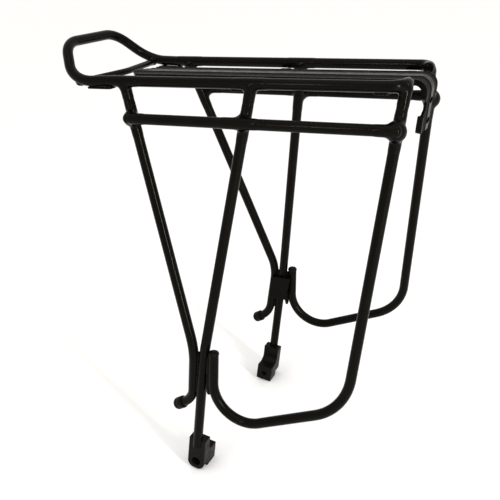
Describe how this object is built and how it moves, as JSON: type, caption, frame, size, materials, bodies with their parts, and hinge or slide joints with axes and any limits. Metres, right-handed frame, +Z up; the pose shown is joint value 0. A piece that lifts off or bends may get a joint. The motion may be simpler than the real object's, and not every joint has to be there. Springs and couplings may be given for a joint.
{
  "type": "rear rack",
  "caption": "Bent-tube bicycle luggage rack with a ribbed plank deck, front hoop, pannier rails, curved side legs, bolt-on feet and a rear light bracket.",
  "frame": {"origin": "centre of the bounding box at its lowest level, which is the lowest edge of the two feet", "axes": "+Z up, +X towards the rear of the bicycle and the light bracket, +Y towards the left side of the bicycle"},
  "size_m": [0.3594, 0.219, 0.4431],
  "materials": {
    "frame_paint": "glossy black powder coat on aluminium tube",
    "deck_paint": "satin black powder coat on an aluminium extrusion",
    "foot_paint": "satin black paint on cast aluminium",
    "black_plastic": "black moulded end caps"
  },
  "bodies": {
    "root": {"deck_hoop_tube": "frame_paint", "front_cross_tube": "frame_paint", "middle_cross_strap": "frame_paint", "rear_cross_strap": "frame_paint", "pannier_rail_left": "frame_paint", "pannier_rail_right": "frame_paint", "pannier_rail_cap_rear_left": "frame_paint", "pannier_rail_cap_rear_right": "frame_paint", "pannier_rail_cap_front_left": "frame_paint", "pannier_rail_cap_front_right": "frame_paint", "front_leg_left": "frame_paint", "front_leg_right": "frame_paint", "middle_leg_left": "frame_paint", "middle_leg_right": "frame_paint", "rear_leg_left": "frame_paint", "rear_leg_right": "frame_paint", "gusset_left": "frame_paint", "gusset_right": "frame_paint", "stay_tab_left": "frame_paint", "stay_tab_right": "frame_paint", "deck_plank": "deck_paint", "foot_left": "foot_paint", "foot_right": "foot_paint", "hook_cap_left": "black_plastic", "hook_cap_right": "black_plastic", "rear_leg_plug_left": "black_plastic", "rear_leg_plug_right": "black_plastic"}
  },
  "joints": []
}
